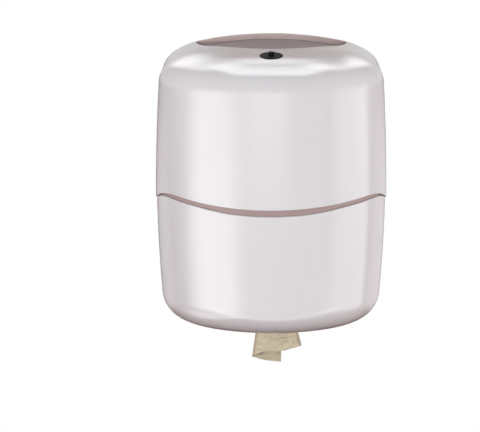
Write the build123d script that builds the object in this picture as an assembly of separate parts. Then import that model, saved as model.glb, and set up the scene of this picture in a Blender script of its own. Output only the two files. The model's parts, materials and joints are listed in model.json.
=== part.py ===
from build123d import *
import os
from math import asin, cos, degrees, radians, sin, tan

# Wall-mounted centrefeed roll dispenser, in millimetres.
# The origin is the centre of the wall face: y = 0 is the wall, the front looks along -Y,
# +X is to the right seen from the front and +Z is up. z = 0 is half the casing's height.

# Casing, outside
casing_width = 252.0
casing_height = 313.8
straight_depth = 100.0
seam_height = 144.1
lip_proud = 1.2
half_width = casing_width / 2
top_z = casing_height / 2
bottom_z = -casing_height / 2
seam_z = bottom_z + seam_height

# Casing profile: slopes in degrees, counted from the crown outwards
crown_slope = 11.3
brow_radius = 89.0
brow_slope = 32.6
shoulder_radius = 29.4
upper_side_lean = 3.3
base_slope = 13.2
heel_radius = 32.0
lower_side_lean = 4.8
lower_rim_lean = 1.2

# Shells
wall = 2.5
rear_gap = 0.5
scoop_edge_radius = 0.6
lip_edge_radius = 0.6
slot_edge_radius = 0.8
overrun = 20.0

# Seam between the two shells, seen from the side: shares of the half width, counted
# forwards from the straight sides, and shares of the wave's height
lip_wave_height = 12.0
lip_wave_shares = ((0.22, 0.48), (0.5, 1.0), (0.75, 0.78), (0.9, 0.525), (1.0, 0.325), (1.06, 0.22))
groove_wave_height = 9.3
groove_wave_shares = (
    (0.2, 0.61), (0.41, 1.0), (0.64, 0.8), (0.83, 0.4), (0.93, 0.04), (1.0, -0.19), (1.06, -0.4)
)
groove_side_height = 1.8
groove_depth = 3.2
neck_wall = 2.2
neck_overlap = 8.0

# Joint between the two shells
lug_reach = 9.5
lug_width = 11.0
lug_thickness = 3.5
lug_rise = 1.0
lug_side_y = -30.0
lug_front_angle = 45.0
boss_radius = 4.0
boss_height = 16.0
joint_screw_radius = 1.5
joint_screw_length = 12.0
joint_screw_head_radius = 3.0
joint_screw_head_height = 1.8
face_gap = 0.2

# Scoop in the top and the roof deck under it
scoop_half_width = 84.0
scoop_lock_gap = 27.5
deck_drop = 6.0
deck_wall = 2.2
deck_side_overlap = 3.0
deck_front_overlap = 8.0
deck_flange_half_width = 68.0
deck_flange_depth = 14.0
deck_screw_x = 46.0
deck_screw_drop = 7.0

# Back plate
plate_thickness = 3.0
plate_foot_rise = 18.9
rim_gap = 1.0
rim_wall = 2.2
rim_depth = 8.0
rim_top_drop = 44.9
rim_foot_rise = 48.9
rib_height = 3.0
rib_thickness = 2.2
rib_columns_x = (-66.0, -22.0, 22.0, 66.0)
rib_rows_z = (-30.0, 50.0)
rib_top_drop = 38.9
rib_foot_rise = 64.9
wall_hole_radius = 3.25
wall_hole_pad_radius = 9.0
wall_hole_pad_height = 2.0
wall_hole_spacing_x = 176.0
wall_hole_spacing_z = 150.0
wall_hole_centre_z = 16.0

# Cover hinge
hinge_y = -12.0
hinge_rise = 10.9
hinge_z = bottom_z + hinge_rise
hinge_x = 50.0
hinge_pin_radius = 2.0
hinge_running_gap = 0.05
ear_radius = 4.0
plate_ear_width = 8.0
cover_ear_width = 5.5
ear_gap = 0.4
ear_arm_rise = 22.0
hinge_notch_half_width = 62.0
hinge_notch_y = -8.5
hinge_notch_rise = 5.0

# Paper roll
roll_front_gap = 23.0
roll_rear_gap = 13.0
roll_diameter = straight_depth + half_width - roll_front_gap - roll_rear_gap
roll_height = 195.0
roll_bore_radius = 30.0
roll_foot_rise = 42.9
roll_foot_z = bottom_z + roll_foot_rise
roll_radius = roll_diameter / 2
roll_y = -(roll_radius + roll_rear_gap)

# Roll shelf
shelf_thickness = 3.0
shelf_margin = 4.0
shelf_rim_height = 6.0
shelf_rim_wall = 1.8
shelf_hole_radius = 28.0
shelf_flange_height = 18.0
shelf_flange_inset = 3.0
shelf_flange_half_width = roll_radius - shelf_flange_inset
shelf_flange_thickness = 3.0
gusset_inset = 1.0
gusset_x = shelf_flange_half_width - gusset_inset
gusset_thickness = 2.6
gusset_height = 40.0
gusset_length = 68.0
shelf_screws_x = (-78.0, -44.0, 44.0, 78.0)
plate_screw_radius = 1.75
plate_screw_head_radius = 3.4
plate_screw_head_height = 2.0
plate_screw_tail = 2.0

# Cross recess in every screw head, as shares of the shank's radius
recess_arm_share = 0.9
recess_slot_share = 0.22
recess_depth_share = 0.5

# Nozzle under the shelf
nozzle_gap = 0.2
nozzle_flange_radius = 37.0
nozzle_flange_thickness = 2.2
nozzle_wall = 2.5
nozzle_bore_radius = 13.0
nozzle_throat_radius = 24.0
nozzle_length = 26.0
nozzle_screw_circle = 32.5
nozzle_screw_count = 3
nozzle_screw_radius = 1.3
nozzle_screw_head_radius = 2.6
nozzle_screw_head_height = 1.5
grip_ring_height = 4.0
grip_ring_bore_radius = 10.3

# Outlet slot in the casing's floor
slot_half_width = 34.0
slot_front_reach = 42.0
slot_front_y = roll_y - slot_front_reach

# Paper tail: a gathered neck, a flare and two hanging layers with folded edges
paper_gap = 0.3
tail_neck_top_z = roll_foot_z + 10.0
tail_flare_top_z = bottom_z + 14.9
tail_flare_foot_z = bottom_z - 1.1
tail_left_x = -17.2
tail_right_x = 29.1
tail_spread = 3.8
tail_layer = 1.2
tail_fold_radius = 2.6
tail_forward = 3.0
tail_y = roll_y - tail_forward
tail_front_cut_z = bottom_z - 19.1
tail_front_low_z = bottom_z - 27.1
tail_left_low_z = bottom_z - 31.1
tail_back_low_z = bottom_z - 37.4
tail_back_right_x = 11.0
tail_return_x = 14.0

# Push-button lock on the crown, measured along the skin's normal there
lock_brow_gap = 2.13
lock_hole_radius = 8.2
bezel_radius = 12.3
bezel_thickness = 0.9
bezel_bevel = 0.3
bezel_seat_radius = 13.1
bezel_seat_depth = 0.7
sleeve_radius = 8.0
sleeve_length = 7.0
button_radius = 3.25
button_rise = 3.6
button_dome = 0.9
button_running_gap = 0.05
button_travel = 3.0
collar_radius = 5.6
collar_thickness = 1.8
lock_nut_radius = 11.5
lock_nut_thickness = 2.9
lock_nut_flats = 6
lock_nut_seat = 0.65
thread_gap = 0.05
spring_radius = 4.7
spring_wire_radius = 0.4
spring_turns = 4
spring_space = 7.0
bracket_plate = 1.6
bracket_half_width = 14.0
bracket_front = 19.0
bracket_rear = 10.0
bracket_hole_gap = 0.3
cheek_depth = 6.2
cheek_length = 9.0
foot_length = 13.0
foot_seat_depth = 4.4
foot_screw_x = 20.5
foot_screw_length = 6.0
stem_shoulder_gap = 0.9
stem_neck_radius = 2.0
lever_clearance = 1.0
lever_plate = 2.0
lever_half_width = 9.0
lever_window_half_width = 2.6
lever_window_half_length = 5.0
lever_pivot_reach = 14.0
lever_barrel_radius = 2.6
lever_tooth_reach = 24.6
lever_tooth_length = 4.0
lever_tooth_height = 6.0
latch_pin_radius = 1.3
latch_pin_fit = 0.02
clip_radius = 3.6
clip_thickness = 0.8
clip_mouth = 3.2
strike_half_width = 11.0
strike_wall = 2.0
strike_gap = 0.6
strike_foot_length = 13.0
strike_screw_x = 6.0
strike_screw_length = 4.0
strike_screw_radius = 1.2
strike_screw_head_radius = 2.2
strike_screw_head_height = 1.2
strike_screw_seat_gap = 0.4


def chain_radii(height, width, slopes, radii, leans):
    """Radius of the middle arc and of the side arc that close a half section."""
    crown, last = radians(slopes[0]), radians(90 - leans[0])
    steps = [radians(s) for s in slopes] + [last]
    reach = sum(r * (sin(b) - sin(a)) for r, a, b in zip(radii, steps, steps[1:]))
    drop = sum(r * (cos(a) - cos(b)) for r, a, b in zip(radii, steps, steps[1:]))
    mean_lean = tan(radians(leans[0] + leans[1]) / 2)
    spare = width - reach - (height - drop) * mean_lean
    middle = spare / (sin(crown) - (1 - cos(crown)) * mean_lean)
    side = height - drop - middle * (1 - cos(crown))
    return middle, side / (sin(radians(leans[0])) - sin(radians(leans[1])))


def arc_points(apex_z, way, runs, inset):
    """Start, middle and end of each tangent arc, as (r, z), from the crown outwards."""
    centre_r, centre_z = 0.0, apex_z - way * runs[0][0]
    arcs = []
    before = runs[0][0]
    for radius, start, end in runs:
        centre_r += (before - radius) * sin(radians(start))
        centre_z += way * (before - radius) * cos(radians(start))
        before = radius
        reach = radius - inset
        turns = [radians(a) for a in (start, (start + end) / 2, end)]
        arcs.append([(centre_r + reach * sin(t), centre_z + way * reach * cos(t)) for t in turns])
    return arcs


upper_crown_radius, upper_side_radius = chain_radii(
    top_z - seam_z,
    half_width,
    (crown_slope, brow_slope),
    (brow_radius, shoulder_radius),
    (upper_side_lean, 0),
)
base_radius, lower_side_radius = chain_radii(
    seam_height,
    half_width - lip_proud,
    (base_slope,),
    (heel_radius,),
    (lower_side_lean, lower_rim_lean),
)
upper_runs = (
    (upper_crown_radius, 0, crown_slope),
    (brow_radius, crown_slope, brow_slope),
    (shoulder_radius, brow_slope, 90 - upper_side_lean),
    (upper_side_radius, 90 - upper_side_lean, 90),
)
lower_runs = (
    (base_radius, 0, base_slope),
    (heel_radius, base_slope, 90 - lower_side_lean),
    (lower_side_radius, 90 - lower_side_lean, 90 - lower_rim_lean),
)


def section_faces(apex_z, way, runs, inset, end_z):
    """Half and whole cross-section of the casing, in the XZ plane."""
    arcs = arc_points(apex_z, way, runs, inset)
    rim_r, rim_z = arcs[-1][-1]
    apex = (0.0, apex_z - way * inset)
    right = [ThreePointArc(*[(r, 0, z) for r, z in arc]) for arc in arcs]
    left = [ThreePointArc(*[(-r, 0, z) for r, z in arc]) for arc in arcs[1:]]
    first = arcs[0][-1]
    middle = ThreePointArc((-first[0], 0, first[1]), (apex[0], 0, apex[1]), (first[0], 0, first[1]))
    right_drop = Line((rim_r, 0, rim_z), (rim_r, 0, end_z))
    left_drop = Line((-rim_r, 0, rim_z), (-rim_r, 0, end_z))
    half = make_face(right + [
        right_drop,
        Line((rim_r, 0, end_z), (0, 0, end_z)),
        Line((0, 0, end_z), (0, 0, apex[1])),
    ])
    whole = make_face([middle] + right[1:] + left + [
        right_drop,
        left_drop,
        Line((rim_r, 0, end_z), (-rim_r, 0, end_z)),
    ])
    return half, whole


def bar(span, y_span, z_span):
    """A box between two limits along each axis."""
    corners = (span, y_span, z_span)
    sizes = [high - low for low, high in corners]
    middles = [(high + low) / 2 for low, high in corners]
    return Pos(*middles) * Box(*sizes)


def casing_form(apex_z, way, runs, inset, end_z, rear_y):
    """Solid of the casing: a straight run from the wall, then half a turn round the front."""
    half, whole = section_faces(apex_z, way, runs, inset, end_z)
    shift = Pos(0, -straight_depth, 0)
    turn = Axis((0, -straight_depth, 0), (0, 0, -1))
    front = revolve(shift * half, axis=turn, revolution_arc=180)
    run = extrude(shift * whole, amount=straight_depth + rear_y, dir=(0, 1, 0))
    return front + run


def upper_form(inset, rear_y=0.0, end_z=None):
    low = seam_z - lip_wave_height if end_z is None else end_z
    return casing_form(top_z, 1, upper_runs, inset, low, rear_y)


def lower_form(inset, rear_y=0.0, end_z=None):
    high = seam_z + lip_wave_height + neck_overlap + overrun if end_z is None else end_z
    return casing_form(bottom_z, -1, lower_runs, inset, high, rear_y)


def wave_side(level, height, shares, way):
    """Everything above (way 1) or below (way -1) the seam's wave, across the whole width."""
    points = [(0, -straight_depth, level)]
    points += [(0, -straight_depth - q * half_width, level + height * h) for q, h in shares]
    far_z = level + way * casing_height
    wave = Spline(*points, tangents=((0, -1, 0), (0, -1, (points[-1][2] - points[-2][2]) / overrun)))
    edge = [
        Line((0, overrun, level), points[0]),
        wave,
        Line(points[-1], (0, points[-1][1], far_z)),
        Line((0, points[-1][1], far_z), (0, overrun, far_z)),
        Line((0, overrun, far_z), (0, overrun, level)),
    ]
    return extrude(make_face(edge), amount=casing_width, dir=(1, 0, 0), both=True)


def wave_height(share):
    """Height of the lip's wave at a share of the half width, between its named points."""
    points = ((0.0, 0.0),) + lip_wave_shares
    for (q0, h0), (q1, h1) in zip(points, points[1:]):
        if q0 <= share <= q1:
            return lip_wave_height * (h0 + (h1 - h0) * (share - q0) / (q1 - q0))
    return 0.0


def plan_radius(point):
    """Distance from the casing's middle line, or from the turn's axis in front of it."""
    if point.Y > -straight_depth:
        return abs(point.X)
    return (point.X ** 2 + (point.Y + straight_depth) ** 2) ** 0.5


def long_edges(body, radius, z_span):
    """The long cut edges that keep one plan radius between two heights."""
    found = []
    for edge in body.edges():
        middle = edge @ 0.5
        near = abs(plan_radius(middle) - radius) < face_gap and z_span[0] < middle.Z < z_span[1]
        if near and edge.length > straight_depth / 2 and edge.geom_type != GeomType.CIRCLE:
            found.append(edge)
    return found


def scoop_edges(body):
    """The edges where the scoop's prism meets the shell's two faces."""
    found = []
    for edge in body.edges():
        middle = edge @ 0.5
        share = ((middle.X / scoop_half_width) ** 2 + (middle.Y / scoop_depth) ** 2) ** 0.5
        near = abs(share - 1) * scoop_half_width < face_gap / 2
        if near and middle.Z > top_z / 2 and edge.length > wall * 2:
            found.append(edge)
    return found


def slot_edges(body):
    """The outer edges of the paper's slot in the floor."""
    found = []
    for edge in body.edges():
        middle = edge @ 0.5
        side = abs(abs(middle.X) - slot_half_width) < face_gap
        front = abs(middle.X) < face_gap and abs(middle.Y - slot_front_y) < face_gap
        deep = middle.Z < floor_z(middle) + wall / 2
        if (side or front) and deep and edge.length > slot_half_width:
            found.append(edge)
    return found


def floor_z(point):
    """Height of the floor's outer face under a point of its middle arc."""
    return bottom_z + base_radius - (base_radius ** 2 - plan_radius(point) ** 2) ** 0.5


def scoop_prism(half_x, depth):
    """Half-ellipse prism through the crown, its straight side past the wall plane."""
    face = Ellipse(half_x, depth)
    return Pos(0, 0, top_z) * extrude(face, amount=casing_height / 4, both=True)


def crown_z(x, forward, inset=0.0):
    """Height of the crown over a point that is within the middle arc."""
    centre_z = top_z - upper_crown_radius
    return centre_z + ((upper_crown_radius - inset) ** 2 - x ** 2 - forward ** 2) ** 0.5


cover_rear_y = -plate_thickness - rear_gap
lock_reach = upper_crown_radius * sin(radians(crown_slope)) - lock_brow_gap
scoop_depth = straight_depth + lock_reach - scoop_lock_gap
lock_slope = asin(lock_reach / upper_crown_radius)
lock_plane = Plane(
    origin=(0, -straight_depth - lock_reach, crown_z(0, lock_reach)),
    x_dir=(1, 0, 0),
    z_dir=(0, -sin(lock_slope), cos(lock_slope)),
)

# Lock stack, as depths below the skin along the lock's axis
nut_top = wall + lock_nut_seat
sleeve_foot = sleeve_length
collar_top = sleeve_foot + face_gap
collar_foot = collar_top + collar_thickness
bracket_top = collar_foot + spring_space
bracket_foot = bracket_top + bracket_plate
stem_shoulder = bracket_foot + stem_shoulder_gap
lever_top = stem_shoulder + lever_clearance
lever_foot = lever_top + lever_plate
clip_top = lever_foot + lever_clearance
stem_foot = clip_top + clip_thickness + face_gap
pivot_depth = (lever_top + lever_foot) / 2
strike_foot = stem_shoulder
press_angle = asin(button_travel / lever_pivot_reach)


def lock_box(x_span, y_span, top_depth, foot_depth):
    """A box in the lock's own frame, between two depths below the skin."""
    return lock_plane * bar(x_span, y_span, (-foot_depth, -top_depth))


def lock_rod(radius, top_depth, foot_depth, x=0.0, y=0.0):
    """A cylinder along the lock's axis, between two depths below the skin."""
    middle = -(top_depth + foot_depth) / 2
    return lock_plane * (Pos(x, y, middle) * Cylinder(radius, foot_depth - top_depth))


def cross_rod(radius, x_span, y, depth):
    """A cylinder along X in the lock's own frame."""
    middle = (x_span[0] + x_span[1]) / 2
    return lock_plane * (Pos(middle, y, -depth) * Rot(0, 90, 0) * Cylinder(radius, x_span[1] - x_span[0]))


def upright(radius, foot_z, height, x, y):
    """A vertical cylinder standing on a height."""
    return Pos(x, y, foot_z + height / 2) * Cylinder(radius, height)


def level_rod(radius, y_span, x, z):
    """A cylinder along Y."""
    middle = (y_span[0] + y_span[1]) / 2
    return Pos(x, middle, z) * Rot(90, 0, 0) * Cylinder(radius, y_span[1] - y_span[0])


def hinge_rod(radius, x_span):
    """A cylinder on the cover's hinge axis."""
    middle = (x_span[0] + x_span[1]) / 2
    return Pos(middle, hinge_y, hinge_z) * Rot(0, 90, 0) * Cylinder(radius, x_span[1] - x_span[0])


# Places of the four joints between the shells, as (x, y, turn, top of the lug)
neck_inside = half_width - lip_proud - groove_depth - neck_wall
lug_middle = neck_inside - lug_reach / 2


def joint_places():
    side_top = seam_z + neck_overlap + lug_rise
    front_share = cos(radians(lug_front_angle))
    front_top = seam_z + wave_height(front_share) + neck_overlap + lug_rise
    places = []
    for way in (-1, 1):
        places.append((way * lug_middle, lug_side_y, 0 if way > 0 else 180, side_top))
        angle = -lug_front_angle if way > 0 else lug_front_angle - 180
        x = lug_middle * cos(radians(angle))
        y = -straight_depth + lug_middle * sin(radians(angle))
        places.append((x, y, angle, front_top))
    return places


def radial_box(x, y, turn, inward, outward, width, z_span):
    """A box whose length runs outwards from the casing's middle at one joint."""
    return Pos(x, y, 0) * Rot(0, 0, turn) * bar((-inward, outward), (-width / 2, width / 2), z_span)


def upper_cover():
    body = upper_form(0) - upper_form(wall, overrun, seam_z - lip_wave_height - overrun)
    body -= bar((-casing_width, casing_width), (cover_rear_y, overrun), (-casing_height, casing_height))
    body -= wave_side(seam_z, lip_wave_height, lip_wave_shares, -1)
    lip_z = (seam_z - face_gap, seam_z + lip_wave_height)
    body = fillet(long_edges(body, half_width, lip_z), lip_edge_radius)
    body -= scoop_prism(scoop_half_width, scoop_depth)
    body = fillet(scoop_edges(body), scoop_edge_radius)
    skin = upper_form(wall / 2, 0, seam_z - overrun)
    for x, y, turn, top in joint_places():
        boss = upright(boss_radius, top + face_gap, boss_height, x, y)
        web = radial_box(x, y, turn, 0, lug_reach + groove_depth + neck_wall, boss_radius,
                         (top + face_gap, top + face_gap + boss_height))
        body += (boss + web) & skin
        body -= upright(joint_screw_radius, top, joint_screw_length, x, y)
    for way in (-1, 1):
        pad = lock_rod(boss_radius, wall / 2, foot_seat_depth, way * foot_screw_x, -lever_pivot_reach / 2)
        body += pad
        body -= lock_rod(joint_screw_radius, foot_seat_depth - foot_screw_length / 2, foot_seat_depth + wall,
                         way * foot_screw_x, -lever_pivot_reach / 2)
    body -= lock_rod(lock_hole_radius, -overrun, wall + overrun)
    body -= lock_rod(bezel_seat_radius, -overrun, bezel_seat_depth)
    return body


def lower_cover():
    groove_z = seam_z - groove_side_height
    waves = (groove_wave_height, groove_wave_shares)
    outer = lower_form(0) - wave_side(groove_z, *waves, 1)
    rim_z = (groove_z - groove_wave_height, groove_z + groove_wave_height)
    outer = fillet(long_edges(outer, half_width - lip_proud, rim_z), lip_edge_radius)
    neck = lower_form(groove_depth) - wave_side(seam_z + neck_overlap, lip_wave_height, lip_wave_shares, 1)
    cavity = lower_form(wall, overrun) - wave_side(groove_z - wall, *waves, 1)
    throat = lower_form(groove_depth + neck_wall, overrun)
    body = outer + neck - cavity - throat
    for x, y, turn, top in joint_places():
        lug = radial_box(x, y, turn, lug_reach / 2, lug_reach / 2 + neck_wall / 2, lug_width,
                         (top - lug_thickness, top))
        body += lug
        body -= upright(joint_screw_radius + face_gap, top - overrun, overrun + lug_rise, x, y)
    body -= bar((-casing_width, casing_width), (cover_rear_y, overrun), (-casing_height, casing_height))
    body -= bar((-hinge_notch_half_width, hinge_notch_half_width), (hinge_notch_y, overrun),
                (-casing_height, hinge_z + hinge_notch_rise))
    body -= bar((-slot_half_width, slot_half_width), (slot_front_y + slot_half_width, overrun),
                (-casing_height, roll_foot_z))
    slot_middle_y = slot_front_y + slot_half_width
    body -= upright(slot_half_width, -casing_height, casing_height + roll_foot_z, 0, slot_middle_y)
    body = fillet(slot_edges(body), slot_edge_radius)
    inside = lower_form(wall / 2)
    block_y = (hinge_y - ear_radius, hinge_y + hinge_pin_radius)
    inner_edge = plate_ear_width / 2 + ear_gap
    for way in (-1, 1):
        for side in (-1, 1):
            near = way * hinge_x + side * inner_edge
            span = tuple(sorted((near, near + side * cover_ear_width)))
            block = bar(span, block_y, (-casing_height, hinge_z)) & inside
            body += block + hinge_rod(ear_radius, span)
        reach = inner_edge + cover_ear_width + overrun
        pin_span = (way * hinge_x - reach, way * hinge_x + reach)
        body -= hinge_rod(hinge_pin_radius + hinge_running_gap, pin_span)
    return body


def plate_outline(inset, y_span, z_span):
    """The casing's own outline as a slab parallel to the wall."""
    top = upper_form(inset, 0, seam_z)
    bottom = lower_form(inset, 0, seam_z)
    wide = bar((-casing_width, casing_width), y_span, z_span)
    return (top & wide) + (bottom & wide)


def back_plate():
    plate_foot_z = bottom_z + plate_foot_rise
    body = plate_outline(0, (-plate_thickness, 0), (plate_foot_z, casing_height))
    deep = -plate_thickness - rim_depth
    limits = (bottom_z + rim_foot_rise, top_z - rim_top_drop)
    inset = lip_proud + groove_depth + neck_wall + rim_gap
    rim = plate_outline(inset, (deep, -plate_thickness / 2), limits)
    rim -= plate_outline(inset + rim_wall, (deep - overrun, overrun), limits)
    body += rim
    rib_y = (-plate_thickness - rib_height, -plate_thickness / 2)
    rib_z = (bottom_z + rib_foot_rise, top_z - rib_top_drop)
    for x in rib_columns_x:
        body += bar((x - rib_thickness / 2, x + rib_thickness / 2), rib_y, rib_z)
    across = half_width - inset - rim_wall / 2
    for z in rib_rows_z:
        body += bar((-across, across), rib_y, (z - rib_thickness / 2, z + rib_thickness / 2))
    pad_y = (-plate_thickness - wall_hole_pad_height, -plate_thickness / 2)
    for x, z in wall_holes():
        body += level_rod(wall_hole_pad_radius, pad_y, x, z)
    for x, z in wall_holes():
        body -= level_rod(wall_hole_radius, (-overrun, overrun), x, z)
    ear_arm_top_z = hinge_z + ear_arm_rise
    for way in (-1, 1):
        span = (way * hinge_x - plate_ear_width / 2, way * hinge_x + plate_ear_width / 2)
        arm = bar(span, (hinge_y - ear_radius, hinge_y + ear_radius), (hinge_z, ear_arm_top_z))
        bridge = bar(span, (hinge_y, -plate_thickness / 2), (plate_foot_z, ear_arm_top_z))
        body += arm + bridge + hinge_rod(ear_radius, span)
        body -= hinge_rod(hinge_pin_radius, (span[0] - overrun, span[1] + overrun))
    screw_y = (-overrun, -plate_thickness + plate_screw_tail)
    for x in shelf_screws_x:
        body -= level_rod(plate_screw_radius, screw_y, x, shelf_screw_z())
    for x in (-deck_screw_x, deck_screw_x):
        body -= level_rod(plate_screw_radius, screw_y, x, deck_screw_z())
    return body


def wall_holes():
    return [
        (x * wall_hole_spacing_x / 2, wall_hole_centre_z + z * wall_hole_spacing_z / 2)
        for x in (-1, 1)
        for z in (-1, 1)
    ]


def shelf_screw_z():
    return roll_foot_z + shelf_flange_height / 2


def deck_screw_z():
    return crown_z(deck_screw_x, 0, deck_drop + deck_wall) - deck_screw_drop


def drive_recess(radius):
    """The cross cut into a screw head, centred on the head's outer face."""
    arm = (-radius * recess_arm_share, radius * recess_arm_share)
    slot = (-radius * recess_slot_share, radius * recess_slot_share)
    deep = (-radius * recess_depth_share, radius * recess_depth_share)
    return bar(arm, slot, deep) + bar(slot, arm, deep)


def screw_along_y(x, z, face_y, head_radius, head_height, shank_radius, length):
    """Pan-head screw driven towards the wall, its head's underside on a face."""
    head = level_rod(head_radius, (face_y - head_height, face_y), x, z)
    head -= Pos(x, face_y - head_height, z) * Rot(90, 0, 0) * drive_recess(shank_radius)
    return head + level_rod(shank_radius, (face_y, face_y + length), x, z)


def plate_screw(x, z, face_y, part_thickness):
    return screw_along_y(x, z, face_y, plate_screw_head_radius, plate_screw_head_height,
                         plate_screw_radius, part_thickness + plate_screw_tail)


def top_deck():
    sheet = upper_form(deck_drop) - upper_form(deck_drop + deck_wall, overrun, seam_z - casing_height)
    plan = scoop_prism(scoop_half_width + deck_side_overlap, scoop_depth + deck_front_overlap)
    room = bar((-casing_width, casing_width), (-casing_height, -plate_thickness), (0, casing_height))
    body = sheet & plan & room
    inner = upper_form(deck_drop + deck_wall / 2)
    front = -plate_thickness - shelf_flange_thickness
    low = crown_z(deck_flange_half_width, 0, deck_drop + deck_wall) - deck_flange_depth
    flange = bar((-deck_flange_half_width, deck_flange_half_width), (front, -plate_thickness), (low, top_z))
    body += flange & inner
    for x in (-deck_screw_x, deck_screw_x):
        body -= level_rod(plate_screw_radius, (-overrun, overrun), x, deck_screw_z())
    return body


def deck_screws():
    face = -plate_thickness - shelf_flange_thickness
    places = (-deck_screw_x, deck_screw_x)
    return [plate_screw(x, deck_screw_z(), face, shelf_flange_thickness) for x in places]


def roll_shelf():
    rim_radius = roll_radius + shelf_margin
    rear = -plate_thickness
    top = roll_foot_z
    plate = upright(rim_radius, top - shelf_thickness, shelf_thickness, 0, roll_y)
    wide = (-shelf_flange_half_width, shelf_flange_half_width)
    plate += bar(wide, (roll_y, rear), (top - shelf_thickness, top))
    rim = upright(rim_radius, top, shelf_rim_height, 0, roll_y)
    rim -= upright(rim_radius - shelf_rim_wall, top, shelf_rim_height, 0, roll_y)
    rim -= bar((-casing_width, casing_width), (roll_y, overrun), (top, top + shelf_rim_height))
    body = plate + rim
    flange_z = (top - shelf_thickness, top + shelf_flange_height)
    body += bar(wide, (rear - shelf_flange_thickness, rear), flange_z)
    for way in (-1, 1):
        x = way * gusset_x
        corners = [(0, rear, top), (0, rear - gusset_length, top), (0, rear, top + gusset_height)]
        web = make_face(Polyline(*corners, close=True))
        body += Pos(x, 0, 0) * extrude(web, amount=gusset_thickness / 2, dir=(1, 0, 0), both=True)
    body -= upright(shelf_hole_radius, top - overrun, 2 * overrun, 0, roll_y)
    for x in shelf_screws_x:
        body -= level_rod(plate_screw_radius, (rear - overrun, rear + overrun), x, shelf_screw_z())
    for x, y in nozzle_screw_places():
        body -= upright(nozzle_screw_radius, top - overrun, 2 * overrun, x, y)
    return body


def shelf_screws():
    face = -plate_thickness - shelf_flange_thickness
    return [plate_screw(x, shelf_screw_z(), face, shelf_flange_thickness) for x in shelf_screws_x]


def nozzle_screw_places():
    turns = [radians(90 + 360 * i / nozzle_screw_count) for i in range(nozzle_screw_count)]
    return [(nozzle_screw_circle * cos(t), roll_y + nozzle_screw_circle * sin(t)) for t in turns]


def ring_face(points):
    """A closed outline of (r, z) points beside the nozzle's axis."""
    return make_face(Polyline(*[(r, roll_y, z) for r, z in points], close=True))


def nozzle():
    seat = roll_foot_z - shelf_thickness
    lip = roll_foot_z - nozzle_gap
    spigot = shelf_hole_radius - nozzle_gap
    foot = roll_foot_z - nozzle_length
    outline = (
        (spigot, lip),
        (spigot, seat),
        (nozzle_flange_radius, seat),
        (nozzle_flange_radius, seat - nozzle_flange_thickness),
        (nozzle_throat_radius + nozzle_wall, seat - nozzle_flange_thickness),
        (nozzle_bore_radius + nozzle_wall, foot + grip_ring_height),
        (nozzle_bore_radius + nozzle_wall, foot),
        (nozzle_bore_radius, foot),
        (nozzle_bore_radius, foot + grip_ring_height),
        (nozzle_throat_radius, seat - nozzle_flange_thickness),
    )
    body = revolve(ring_face(outline), axis=Axis((0, roll_y, 0), (0, 0, 1)))
    for x, y in nozzle_screw_places():
        body -= upright(nozzle_screw_radius, seat - overrun, overrun, x, y)
    return body


def nozzle_screws():
    face = roll_foot_z - shelf_thickness - nozzle_flange_thickness
    length = shelf_thickness + nozzle_flange_thickness - face_gap
    bodies = []
    for x, y in nozzle_screw_places():
        head_foot = face - nozzle_screw_head_height
        head = upright(nozzle_screw_head_radius, head_foot, nozzle_screw_head_height, x, y)
        head -= Pos(x, y, head_foot) * drive_recess(nozzle_screw_radius)
        bodies.append(head + upright(nozzle_screw_radius, face, length, x, y))
    return bodies


def grip_ring():
    foot = roll_foot_z - nozzle_length
    body = upright(nozzle_bore_radius, foot, grip_ring_height, 0, roll_y)
    return body - upright(grip_ring_bore_radius, foot, grip_ring_height, 0, roll_y)


def paper_roll():
    body = upright(roll_radius, roll_foot_z, roll_height, 0, roll_y)
    return body - upright(roll_bore_radius, roll_foot_z, roll_height, 0, roll_y)


def tail_shift(z):
    """How far the tail's edges have spread outwards at a height below the flare."""
    return tail_spread * (tail_flare_foot_z - z) / (tail_flare_foot_z - tail_left_low_z)


def tail_layer_solid(y, points):
    """One hanging layer: an outline of (x, z) points with the paper's thickness."""
    face = make_face(Polyline(*[(x, y, z) for x, z in points], close=True))
    return extrude(face, amount=tail_layer / 2, dir=(0, 1, 0), both=True)


def tail_fold(x, z, foot_z, way):
    """The rounded edge that joins two layers, leaning outwards as it goes down."""
    ring = Circle(tail_fold_radius + tail_layer / 2) - Circle(tail_fold_radius - tail_layer / 2)
    keep = Pos(way * tail_fold_radius, 0) * Rectangle(2 * tail_fold_radius, 4 * tail_fold_radius)
    face = Pos(x, tail_y, z) * (ring & keep)
    lean = way * tail_spread / (tail_flare_foot_z - tail_left_low_z)
    return extrude(face, amount=z - foot_z, dir=(lean, 0, -1))


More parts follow.
